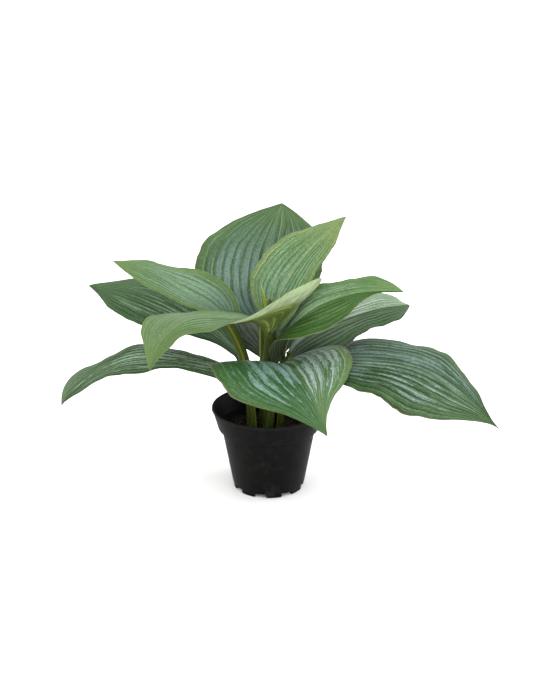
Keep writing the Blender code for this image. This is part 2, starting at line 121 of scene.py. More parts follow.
# heading: the way the leaf points, in degrees from +X.
# line: points down the middle, from the stalk's foot to the tip; the blade starts at the one numbered start.
# half: widest reach of the left and the right half. shape: how fast a half fills out from base and to tip.
# fold and curl: rise of a half at its root, and its further bend, in degrees, from base to tip.
# roll: turn of the whole blade, in degrees. lobe: how far each half reaches back past the base.
# wave: height, number and phase of the waves along the edges. stalk: radius of the stalk.
# drip: how drawn-out the tip is. half, fold, curl and roll take any number of keys, set evenly.
LEAVES = {
    "leaf_back_upright": dict(
        heading=88, start=3, stalk=2.2, drip=0.2, wave=(2.0, 2.5, 0.4),
        line=[(-6, 11), (-6, 14, 105), (-6, 26, 140), (-6, 42, 172), (-4, 62, 216), (3, 78, 254),
              (14, 92, 286)],
        half=((77, 78, 76, 77, 68, 66), (52, 55, 59, 65, 86, 100)),
        shape=((0.6, 0.95), (0.55, 0.72)), lobe=(10, 10), roll=(0, 0, 0),
        fold=((0, 0, 0), (0, 0, 0)), curl=((-8, -12, -10), (-8, -12, -10)),
    ),
    "leaf_upright_right": dict(
        heading=60, start=3, stalk=2.3, drip=0.2, wave=(1.2, 2.0, 2.0),
        line=[(2, 9), (3, 11, 120), (3, 12, 155), (4, 12, 176), (8, 14, 200), (27, 20, 235),
              (52, 28, 263), (80, 36, 286)],
        half=((20, 46, 40, 35, 27, 26), (34, 30, 27, 24, 32, 31)),
        shape=((0.9, 0.95), (0.6, 0.95)), lobe=(8, 8), roll=(0, 0, 0),
        fold=((15, 10, 5), (15, 10, 5)), curl=((-10, -20, -20), (-10, -20, -20)),
    ),
    "leaf_upper_left": dict(
        heading=172, start=3, stalk=3.8, drip=0.3, wave=(1.2, 2.5, 1.0),
        line=[(-16, -1), (-18, 3, 110), (-33, 7, 166), (-46, 9, 186), (-84, 15, 211), (-122, 18, 232),
              (-160, 20, 243)],
        half=((22, 18, 22, 28, 36, 50), (39, 44, 43, 37, 44, 57)),
        shape=((0.6, 0.9), (0.45, 0.9)), lobe=(3, 14), roll=(20, 12, 6),
        fold=((5, 5, 5), (18, 8, 2)), curl=((-10, -20, -20), (-10, -20, -20)),
    ),
    "leaf_mid_left": dict(
        heading=155, start=2, stalk=2.3, drip=0.3, wave=(1.5, 2.5, 0.0),
        line=[(-16, 11), (-21, 13, 110), (-29, 14, 136), (-46, 25, 150), (-90, 50, 171),
              (-145, 75, 187), (-197, 95, 193)],
        half=((8, 15, 24, 38, 41, 43, 37), (53, 52, 51, 49, 47, 44, 42)),
        shape=((0.9, 0.9), (1.1, 0.7)), lobe=(10, 6), roll=(6, 12, 8),
        fold=((5, 5, 5), (5, 8, 5)), curl=((-10, -20, -20), (-10, -20, -20)),
    ),
    "leaf_front_left": dict(
        heading=218, start=3, stalk=3.3, drip=0.1, wave=(1.6, 3.0, 0.0),
        line=[(0, -6), (0, -5, 110), (0, -4, 145), (1, -3, 171), (-8, -8, 184), (-32, -26, 197),
              (-81, -54, 204), (-108, -78, 184), (-116, -84, 161)],
        half=((8, 76, 101, 85, 109, 108, 79, 60, 45, 49, 67, 80, 71), (52, 51, 43, 59, 52, 30)),
        shape=((0.28, 1.3), (1.3, 0.9)), lobe=(-9, 2), roll=(0, 0, 0),
        fold=((41, 0, -8, -9), (23, -9, 5)), curl=((12, 53, -6, -2), (-3, -2, -6)),
    ),
    "leaf_upper_right": dict(
        heading=-5, start=3, stalk=2.4, drip=0.3, wave=(1.2, 2.5, 2.0),
        line=[(12, -4), (10, -1, 115), (12, -1, 136), (14, -2, 146), (26, -4, 179), (48, -7, 201),
              (92, -12, 219), (137, -18, 222)],
        half=((36, 33, 32, 26, 35, 51), (16, 50, 74, 63, 50, 8, 8)),
        shape=((0.6, 0.75), (0.4, 0.9)), lobe=(8, 12), roll=(-8, -16, -10),
        fold=((22, 20, 20), (55, 17, 10)), curl=((-15, -20, -20), (-15, -20, -20)),
    ),
    "leaf_mid_right": dict(
        heading=28, start=3, stalk=2.3, drip=0.6, wave=(1.5, 2.0, 1.0),
        line=[(12, 7), (14, 13, 110), (18, 17, 132), (22, 21, 140), (76, 57, 165), (120, 79, 172),
              (154, 95, 171)],
        half=((24, 18, 17, 20, 31, 54), (60, 60, 45, 37, 42, 48)),
        shape=((1.0, 0.7), (0.45, 0.5)), lobe=(6, 20), roll=(0, 0, 0),
        fold=((5, 22, 40), (6, 4, 4)), curl=((-15, -20, -20), (-15, -20, -20)),
    ),
    "leaf_low_right": dict(
        heading=-25, start=3, stalk=2.4, drip=0.5, wave=(2.0, 3.0, -1.2),
        line=[(8, -12), (14, -11, 100), (26, -12, 130), (48, -16, 141), (108, -36, 153),
              (156, -64, 153), (195, -90, 135), (226, -112, 112)],
        half=((85, 74, 69, 68, 58, 16), (59, 48, 50, 65, 74, 30)),
        shape=((0.4, 0.85), (0.8, 0.92)), lobe=(14, 8), roll=(-3, -3, 0),
        fold=((8, 5, 5), (-8, -8, 0)), curl=((-15, -20, -20), (-20, -22, -20)),
    ),
    "leaf_front": dict(
        heading=-62, start=2, stalk=2.4, drip=0.2, wave=(1.5, 2.0, 3.0),
        line=[(-2, -16), (3, -16, 100), (8, -18, 136), (15, -37, 151), (30, -70, 152), (47, -102, 133),
              (58, -118, 107)],
        half=((18, 61, 70, 68, 47, 32), (82, 83, 83, 80, 56, 46)),
        shape=((0.45, 1.3), (0.45, 0.9)), lobe=(12, 20), roll=(-4, 0, 0),
        fold=((18, 8, 0), (28, 15, 5)), curl=((-10, -15, -20), (-10, -36, -36)),
    ),
    "leaf_low_left": dict(
        heading=182, start=2, stalk=2.3, drip=0.2, wave=(1.5, 3.0, 2.0),
        line=[(-12, -13), (-16, -9, 100), (-25, -6, 126), (-50, 0, 134), (-98, 10, 138),
              (-146, 18, 135), (-191, 24, 112), (-225, 28, 79)],
        half=((38, 17, 13, 23, 22, 19, 13), (21, 23, 31, 38, 26, 38, 80)),
        shape=((0.6, 0.85), (0.6, 0.42)), lobe=(12, 10), roll=(0, 8, 18),
        fold=((-50, 0, 5), (5, 5, 5)), curl=((-15, -20, -20), (-15, -20, -20)),
    ),
    "leaf_back_low": dict(
        heading=97, start=2, stalk=2.3, drip=0.3, wave=(1.5, 2.5, 0.0),
        line=[(4, 17), (4, 24, 100), (3, 36, 127), (0, 52, 142), (-7, 76, 152), (-16, 102, 151),
              (-24, 128, 133)],
        half=(46, 46),
        shape=((1.0, 0.9), (1.0, 0.9)), lobe=(4, 4), roll=(0, 0, 0),
        fold=((2, 5, 5), (2, 5, 5)), curl=((-10, -20, -20), (-10, -20, -20)),
    ),
}

YOUNG_SHOOTS = {
    "young_shoot_tall": dict(
        heading=200, start=4, stalk=1.5, drip=0.0, wave=(0, 1, 0),
        line=[(-6, 1), (-4, 4, 110), (-1, 7, 145), (0.5, 8, 165), (-2, 6, 185), (-5, 3.5, 203),
              (-6.5, 2, 222)],
        half=(3.2, 3.2),
        shape=((0.6, 1.0), (0.6, 1.0)), lobe=(0, 0), roll=(0, 0, 0),
        fold=((50, 50, 10), (50, 50, 10)), curl=((20, 20, 10), (20, 20, 10)),
    ),
    "young_shoot_short": dict(
        heading=-90, start=3, stalk=1.5, drip=0.0, wave=(0, 1, 0),
        line=[(5, 0), (5.5, 0.5, 120), (5.5, 1, 165), (4, 0, 185), (1.5, -1.5, 209)],
        half=(4.5, 4.5),
        shape=((0.6, 1.0), (0.6, 1.0)), lobe=(0, 0), roll=(0, 0, 0),
        fold=((20, 20, 10), (20, 20, 10)), curl=((10, 10, 10), (10, 10, 10)),
    ),
}

# Each leaf's finish. veins: how many in each half. rib: how far the blade swells between them.
# deep: the green along the veins. fresh: the green towards margin and tip. bloom: the silvery wax.
# rim: the thin margin. under: the underside. half_light: painted light and shade, a tint over each half that
# lifts a lit half and darkens a shaded one.
# wax: how much wax there is, and how far up the blade it goes. edge: how ragged and how soft the wax is.
# midrib, line, groove, dots, shade: strength of the pale midrib and veins, the painted shade
# in the grooves beside them, the stipple and the painted shade darkening the base.
LEAF_FINISH = {
    "leaf_back_upright": dict(
        deep=(0.046, 0.096, 0.037), fresh=(0.102, 0.165, 0.064), bloom=(0.148, 0.220, 0.201),
        rim=(0.086, 0.093, 0.050), under=(0.043, 0.064, 0.036),
        half_light=((1, 1, 1), (1, 1, 1)),
        veins=8, rib=0.55, wax=(0.42, 0.95), edge=(0.4, 0.55),
        midrib=0.1, line=0.65, groove=0.55, dots=0.35, shade=0.8,
    ),
    "leaf_upright_right": dict(
        deep=(0.073, 0.148, 0.048), fresh=(0.234, 0.278, 0.101), bloom=(0.195, 0.316, 0.233),
        rim=(0.143, 0.179, 0.086), under=(0.093, 0.129, 0.064),
        half_light=((1, 1, 1), (1, 1, 1)),
        veins=7, rib=0.5, wax=(0.33, 0.85), edge=(0.5, 0.6),
        midrib=0.25, line=0.55, groove=0.5, dots=0.5, shade=0.2,
    ),
    "leaf_upper_left": dict(
        deep=(0.057, 0.114, 0.039), fresh=(0.121, 0.193, 0.051), bloom=(0.142, 0.221, 0.166),
        rim=(0.121, 0.157, 0.071), under=(0.079, 0.114, 0.057),
        half_light=((1, 1, 1), (1, 1, 1)),
        veins=6, rib=0.45, wax=(0.45, 0.95), edge=(0.5, 0.6),
        midrib=0.1, line=0.45, groove=0.45, dots=0.45, shade=0.8,
    ),
    "leaf_mid_left": dict(
        deep=(0.025, 0.064, 0.022), fresh=(0.045, 0.089, 0.027), bloom=(0.164, 0.253, 0.157),
        rim=(0.064, 0.079, 0.043), under=(0.036, 0.054, 0.032),
        half_light=((1, 1, 1), (1, 1, 1)),
        veins=7, rib=0.6, wax=(0.25, 0.95), edge=(1, 0.3),
        midrib=0.1, line=0.45, groove=0.8, dots=0.4, shade=0.3,
    ),
    "leaf_front_left": dict(
        deep=(0.065, 0.119, 0.044), fresh=(0.103, 0.172, 0.035), bloom=(0.167, 0.246, 0.158),
        rim=(0.143, 0.186, 0.086), under=(0.236, 0.325, 0.082),
        half_light=((1, 1, 1), (1, 1, 1)),
        veins=7, rib=0.5, wax=(0.3, 0.95), edge=(0.6, 0.6),
        midrib=0.1, line=0.45, groove=0.5, dots=0.45, shade=0, lit_pale_roll=True,
    ),
    "leaf_upper_right": dict(
        deep=(0.047, 0.106, 0.030), fresh=(0.082, 0.150, 0.043), bloom=(0.160, 0.242, 0.143),
        rim=(0.100, 0.129, 0.057), under=(0.043, 0.061, 0.029),
        half_light=((1.32, 1.25, 1.4), (0.55, 0.68, 0.4)),
        veins=7, rib=0.5, wax=(0.32, 0.95), edge=(0.8, 0.4),
        midrib=0.7, line=0.55, groove=0.65, dots=0.45, shade=0.3,
    ),
    "leaf_mid_right": dict(
        deep=(0.034, 0.072, 0.028), fresh=(0.085, 0.134, 0.076), bloom=(0.154, 0.201, 0.154),
        rim=(0.093, 0.100, 0.071), under=(0.036, 0.050, 0.032),
        half_light=((2.6, 2.15, 2.6), (0.6, 0.72, 0.55)),
        veins=7, rib=0.6, wax=(0.3, 1), edge=(0.9, 0.45),
        midrib=0.2, line=0.5, groove=0.8, dots=0.35, shade=0.5,
    ),
    "leaf_low_right": dict(
        deep=(0.027, 0.065, 0.023), fresh=(0.068, 0.125, 0.039), bloom=(0.179, 0.250, 0.225),
        rim=(0.093, 0.093, 0.057), under=(0.036, 0.050, 0.032),
        half_light=((0.66, 0.72, 0.70), (1, 1, 1)),
        veins=8, rib=0.95, wax=(0.27, 1.05), edge=(1, 0.22),
        midrib=0.25, line=0.45, groove=0.9, dots=0.45, shade=0.4,
    ),
    "leaf_front": dict(
        deep=(0.022, 0.066, 0.020), fresh=(0.068, 0.128, 0.043), bloom=(0.140, 0.219, 0.211),
        rim=(0.086, 0.100, 0.043), under=(0.036, 0.054, 0.032),
        half_light=((1.85, 1.5, 1.5), (1.03, 1.06, 1.0)),
        veins=7, rib=0.6, wax=(0.30, 0.85), edge=(1.1, 0.2),
        midrib=0.1, line=0.35, groove=0.4, dots=0.35, shade=0,
    ),
    "leaf_low_left": dict(
        deep=(0.031, 0.068, 0.025), fresh=(0.042, 0.084, 0.020), bloom=(0.291, 0.397, 0.291),
        rim=(0.071, 0.086, 0.043), under=(0.066, 0.065, 0.030),
        half_light=((1, 1, 1), (1, 1, 1)),
        veins=6, rib=0.75, wax=(0.24, 0.95), edge=(1, 0.25),
        midrib=0.2, line=0.45, groove=0.7, dots=0.45, shade=0.3,
    ),
    # Painted shade: this leaf's colours are set far darker than the others', for the deep shade it sits in
    # behind the stalks.
    "leaf_back_low": dict(
        deep=(0.021, 0.036, 0.019), fresh=(0.039, 0.057, 0.029), bloom=(0.079, 0.100, 0.079),
        rim=(0.050, 0.057, 0.036), under=(0.032, 0.041, 0.023),
        half_light=((1, 1, 1), (1, 1, 1)),
        veins=7, rib=0.6, wax=(0.4, 0.9), edge=(0.9, 0.4),
        midrib=0.2, line=0.5, groove=0.7, dots=0.4, shade=0.3,
    ),
    "young_shoot_tall": dict(
        deep=(0.353, 0.435, 0.047), fresh=(0.570, 0.652, 0.083), bloom=(0.243, 0.286, 0.100),
        rim=(0.543, 0.597, 0.092), under=(0.407, 0.462, 0.056),
        half_light=((1, 1, 1), (1, 1, 1)),
        veins=3, rib=0.1, wax=(0.2, 0.8), edge=(0.5, 0.5),
        midrib=0.2, line=0.1, groove=0.1, dots=0.1, shade=0,
    ),
    "young_shoot_short": dict(
        deep=(0.085, 0.102, 0.025), fresh=(0.134, 0.150, 0.043), bloom=(0.093, 0.107, 0.057),
        rim=(0.146, 0.140, 0.043), under=(0.097, 0.106, 0.030),
        half_light=((1, 1, 1), (1, 1, 1)),
        veins=3, rib=0.1, wax=(0.2, 0.8), edge=(0.5, 0.5),
        midrib=0.2, line=0.1, groove=0.1, dots=0.1, shade=0,
    ),
}


# ---------------------------------------------------------------- leaf shape

def smooth_line(points, spots):
    """Points at the given shares of a natural cubic spline through the points, and the points' own shares."""
    points = np.asarray(points, float)
    if points.ndim == 1:
        points = points[:, None]
    count = len(points)
    steps = np.linalg.norm(np.diff(points, axis=0), axis=1) if points.shape[1] > 1 else np.ones(count - 1)
    shares = np.concatenate([[0.0], np.cumsum(steps)])
    system = np.eye(count)
    right_side = np.zeros_like(points)
    for i in range(1, count - 1):
        system[i, i - 1:i + 2] = steps[i - 1], 2 * (steps[i - 1] + steps[i]), steps[i]
        bend = (points[i + 1] - points[i]) / steps[i] - (points[i] - points[i - 1]) / steps[i - 1]
        right_side[i] = 6 * bend
    second = np.linalg.solve(system, right_side)
    at = np.asarray(spots) * shares[-1]
    k = np.clip(np.searchsorted(shares, at, side="right") - 1, 0, count - 2)
    after = (shares[k + 1] - at)[:, None]
    before = (at - shares[k])[:, None]
    step = steps[k][:, None]
    line = (second[k] * after**3 + second[k + 1] * before**3) / (6 * step)
    line += (points[k] / step - second[k] * step / 6) * after
    line += (points[k + 1] / step - second[k + 1] * step / 6) * before
    return line, shares / shares[-1]


def between(keys, along):
    """A smooth curve through keys set evenly from the blade's base to its tip."""
    return smooth_line(keys, along)[0][:, 0]


def keyed(value, along):
    """A plain number, or keys from base to tip as between reads them."""
    return between(value, along) if isinstance(value, tuple) else value


def fullness(shape, along, drip):
    """Half width of the blade, from 0 at its base through 1 at its widest to 0 at its drawn-out tip."""
    base_power, tip_power = shape
    widest = base_power / (base_power + tip_power)
    inside = np.clip(along, 1e-6, 1 - 1e-6)
    reach = (inside / widest) ** base_power * ((1 - inside) / (1 - widest)) ** tip_power
    reach *= 1 - drip * np.clip((inside - DRIP_START) / DRIP_REACH, 0, 1) ** 1.5
    return np.where((along <= 0) | (along >= 1), 0.0, reach)


def leaf_rows(leaf):
    """Rows along a leaf: place, way along, way to the right, way up, and share of the blade."""
    foot = leaf["line"][0]
    line = [(foot[0], foot[1], STALK_FOOT)] + leaf["line"][1:]
    blade_start = smooth_line(line, [0.0])[1][leaf["start"]]
    even = np.linspace(0, 1, BLADE_ROWS + 1)
    eased = 0.5 * even + 0.25 * (1 - np.cos(math.pi * even))
    stalk_part = np.linspace(0, blade_start, STALK_ROWS + 1)[:-1]
    spots = np.concatenate([stalk_part, blade_start + (1 - blade_start) * eased])
    place = smooth_line(line, spots)[0]
    nudge = 1e-4
    ahead = smooth_line(line, np.clip(spots + nudge, 0, 1))[0]
    behind = smooth_line(line, np.clip(spots - nudge, 0, 1))[0]
    along = ahead - behind
    along /= np.linalg.norm(along, axis=1)[:, None]
    turn = math.radians(leaf["heading"])
    level = np.array([math.sin(turn), -math.cos(turn), 0.0])
    right = level - (along @ level)[:, None] * along
    right /= np.linalg.norm(right, axis=1)[:, None]
    up = np.cross(right, along)
    share = np.clip((spots - blade_start) / (1 - blade_start), 0, 1)
    roll = np.radians(between(leaf["roll"], share))[:, None]
    rolled_right = np.cos(roll) * right + np.sin(roll) * up
    rolled_up = np.cos(roll) * up - np.sin(roll) * right
    return place, along, rolled_right, rolled_up, share


def leaf_surface(leaf, finish):
    """The leaf's upper face as a grid of points, rows by columns, and the thickness under each."""
    place, along, right, up, share = leaf_rows(leaf)
    points = np.zeros((ROWS + 1, COLUMNS + 1, 3))
    thickness = np.zeros((ROWS + 1, COLUMNS + 1))
    slim = leaf["stalk"] * (1 - share) ** MIDRIB_TAPER
    core = np.where(share > 0, slim * MIDRIB_SHARE, leaf["stalk"])
    opening = np.clip(share / OPENING_REACH, 0, 1) * np.clip((1 - share) / CLOSING_REACH, 0, 1)
    sweep = np.clip(1 - share / LOBE_REACH, 0, 1) ** 2 * np.clip(share / LOBE_START, 0, 1)
    stalk_width = slim * np.clip(1 - share / STALK_REACH, 0, 1)
    on_stalk = np.clip(1 - share / CHANNEL_REACH, 0, 1)
    middle = COLUMNS // 2
    for column in range(COLUMNS + 1):
        side = -1 if column < middle else 1
        half = 0 if side < 0 else 1
        out = abs(column - middle) / middle
        blade_width = keyed(leaf["half"][half], share) * fullness(leaf["shape"][half], share, leaf["drip"])
        width = np.hypot(blade_width, stalk_width) + TIP_HALF_WIDTH + ripple(finish, side, share)
        fold = np.radians(between(leaf["fold"][half], share)) * opening
        curl = np.radians(between(leaf["curl"][half], share)) * opening
        curl = np.where(np.abs(curl) < 1e-4, 1e-4, curl)
        lean = fold + curl * out
        reach = width * (np.sin(lean) - np.sin(fold)) / curl
        rise = width * (np.cos(fold) - np.cos(lean)) / curl
        rise += edge_wave(leaf["wave"], out, side, share) + swell(finish, out, share)
        rise += STALK_CHANNEL * leaf["stalk"] * (out**2 - 0.3) * on_stalk
        back = leaf["lobe"][half] * out**LOBE_CURVE * sweep
        points[:, column] = (place + side * reach[:, None] * right + rise[:, None] * up
                             - back[:, None] * along)
        round_part = np.sqrt(np.clip(1 - (out * width / (core + STALK_EDGE)) ** 2, 0, 1))
        thickness[:, column] = BLADE_THICKNESS + core * (1 + 0.6 * on_stalk) * round_part
    return points * MM, thickness * MM


def edge_wave(wave, out, side, share):
    """Gentle waves that grow towards the edge, out of step on the two halves."""
    height, count, phase = wave
    slow = np.sin(2 * math.pi * count * share + phase + side)
    quick = 0.3 * np.sin(2 * math.pi * (2.7 * count) * share + 2.1 * phase - side)
    return height * (out**2 * slow + out**4 * quick) * np.sin(math.pi * share)


def ripple(finish, side, share):
    """Small uneven waves in the outline."""
    count = 3.0 + 0.4 * finish["veins"] + 0.35 * side
    waves = np.sin(2 * math.pi * count * share + side) + 0.5 * np.sin(2 * math.pi * 2.3 * count * share)
    return RIPPLE * waves * np.sin(math.pi * share)


def swell(finish, out, share):
    """The blade puffs up between its veins, and dips along them and along the midrib."""
    puff = np.abs(np.sin(math.pi * finish["veins"] * out)) ** 0.7 - 0.6
    grown = np.sin(math.pi * np.clip(share, 0, 1)) ** 0.5
    return finish["rib"] * puff * grown * (1 - out**6)


def make_leaf(name, leaf, finish, materials):
    """A grid laid along the leaf's rule, then given the thickness of blade, midrib and stalk."""
    bpy.ops.object.select_all(action="DESELECT")
    bpy.ops.mesh.primitive_grid_add(x_subdivisions=COLUMNS, y_subdivisions=ROWS, size=2, calc_uvs=True)
    made = bpy.context.object
    made.name = name + "_blade"
    mesh = made.data
    corners = np.empty(len(mesh.vertices) * 3)
    mesh.vertices.foreach_get("co", corners)
    corners = corners.reshape(-1, 3)
    column = np.rint((corners[:, 0] + 1) / 2 * COLUMNS).astype(int)
    row = np.rint((corners[:, 1] + 1) / 2 * ROWS).astype(int)
    points, thickness = leaf_surface(leaf, finish)
    points = held_inside(points)
    mesh.vertices.foreach_set("co", points[row, column].ravel())
    mesh.uv_layers[0].name = "leaf_map"
    body = made.vertex_groups.new(name="body")
    for index, thick in enumerate(thickness[row, column]):
        body.add([index], float(min(1.0, thick / (THICKEST * MM))), "REPLACE")
    for material in materials:
        mesh.materials.append(material)
    mesh.update()
    thicken = made.modifiers.new("thicken", "SOLIDIFY")
    thicken.thickness = THICKEST * MM
    thicken.offset = -1
    thicken.vertex_group = "body"
    thicken.material_offset = 1
    thicken.material_offset_rim = 2
    bpy.ops.object.modifier_apply(modifier="thicken")
    bpy.ops.object.shade_smooth_by_angle(angle=math.radians(50))
    made.vertex_groups.clear()
    settle(made, name)
    return made


def held_inside(points):
    """The points, with any bulge past the solids' box eased back into it over its last EASE millimetres."""
    held = points.copy()
    for axis in range(3):
        for edge, sign in ((SOLID_BOX[0][axis], -1), (SOLID_BOX[1][axis], 1)):
            past = sign * (held[..., axis] - edge) + (EASE + CLEAR) * MM
            if past.max() > EASE * MM:
                eased = past * EASE * MM / past.max()
                held[..., axis] -= sign * np.where(past > 0, past - eased, 0.0)
    return held


def settle(piece, *nodes, slot="leaf"):
    """The piece rides on the model's body and stands for these nodes."""
    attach(piece, "root")
    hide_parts(*nodes)


# ---------------------------------------------------------------- shader helpers

def new_group(name, inputs, outputs):
    """An empty node group with float inputs as {name: value}, and outputs as {name: type}."""
    group = bpy.data.node_groups.new(name, "ShaderNodeTree")
    for socket, value in inputs.items():
        kind = "NodeSocketVector" if value is None else "NodeSocketFloat"
        made = group.interface.new_socket(socket, in_out="INPUT", socket_type=kind)
        if value is not None:
            made.default_value = value
    for socket, kind in outputs.items():
        group.interface.new_socket(socket, in_out="OUTPUT", socket_type=kind)
    return group, group.nodes.new("NodeGroupInput"), group.nodes.new("NodeGroupOutput")


def connect(tree, value, socket):
    """Links an output to a socket, or sets the socket to a plain value."""
    if isinstance(value, bpy.types.NodeSocket):
        tree.links.new(value, socket)
    else:
        socket.default_value = value


def maths(tree, operation, first, second=None, third=None):
    """The output of a Math node; each value is a number or an output."""
    node = tree.nodes.new("ShaderNodeMath")
    node.operation = operation
    for socket, value in zip(node.inputs, (first, second, third)):
        if value is not None:
            connect(tree, value, socket)
    return node.outputs[0]


def ramp(tree, value, low, high):
    """0 at or under low, 1 at or over high, smooth between."""
    node = tree.nodes.new("ShaderNodeMapRange")
    node.interpolation_type = "SMOOTHSTEP"
    for socket, given in zip(node.inputs, (value, low, high, 0.0, 1.0)):
        connect(tree, given, socket)
    return node.outputs["Result"]


def cloud(tree, place, scale, detail=2.0, roughness=0.5, distortion=0.0):
    """Noise from 0 to 1 over the place."""
    node = tree.nodes.new("ShaderNodeTexNoise")
    connect(tree, place, node.inputs["Vector"])
    node.inputs["Scale"].default_value = scale
    node.inputs["Detail"].default_value = detail
    node.inputs["Roughness"].default_value = roughness
    node.inputs["Distortion"].default_value = distortion
    return node.outputs["Fac"]


def mixed(tree, share, first, second, blend="MIX"):
    """The first colour, with this share of the second mixed or blended in."""
    node = tree.nodes.new("ShaderNodeMix")
    node.data_type = "RGBA"
    node.blend_type = blend
    for socket, value in ((node.inputs[0], share), (node.inputs[6], first), (node.inputs[7], second)):
        connect(tree, value if isinstance(value, (float, bpy.types.NodeSocket)) else (*value, 1.0), socket)
    return node.outputs[2]


def spot(tree, x, y, z=0.0):
    """A vector from three values."""
    node = tree.nodes.new("ShaderNodeCombineXYZ")
    for socket, value in zip(node.inputs, (x, y, z)):
        connect(tree, value, socket)
    return node.outputs[0]


def new_material(name, shine=0.2):
    """A material with its tree and its shader, whose specular level is the shine."""
    material = bpy.data.materials.new(name)
    material.use_nodes = True
    shader = material.node_tree.nodes["Principled BSDF"]
    shader.inputs["Specular IOR Level"].default_value = shine
    return material, material.node_tree, shader


def tinted(colour, share):
    """The colour made darker or lighter by a share."""
    return tuple(share * part for part in colour)


def bump(tree, height, distance, strength):
    """A height as a bump normal, with the distance in metres."""
    node = tree.nodes.new("ShaderNodeBump")
    node.inputs["Strength"].default_value = strength
    node.inputs["Distance"].default_value = distance
    tree.links.new(height, node.inputs["Height"])
    return node.outputs["Normal"]


# ---------------------------------------------------------------- leaf materials

LEAF_SHINE = 0.08
STALK_OLIVE = (0.055, 0.083, 0.014)
STALK_YELLOW = (0.171, 0.186, 0.025)
UNDER_RIB = (0.099, 0.140, 0.043)
# The rolled margin's colour: the underside's own paler wax, lifted further as painted light where it faces
# up.
LIT_ROLLED_MARGIN = (0.317, 0.397, 0.223)
BASE_SHADE = (0.50, 0.53, 0.60)


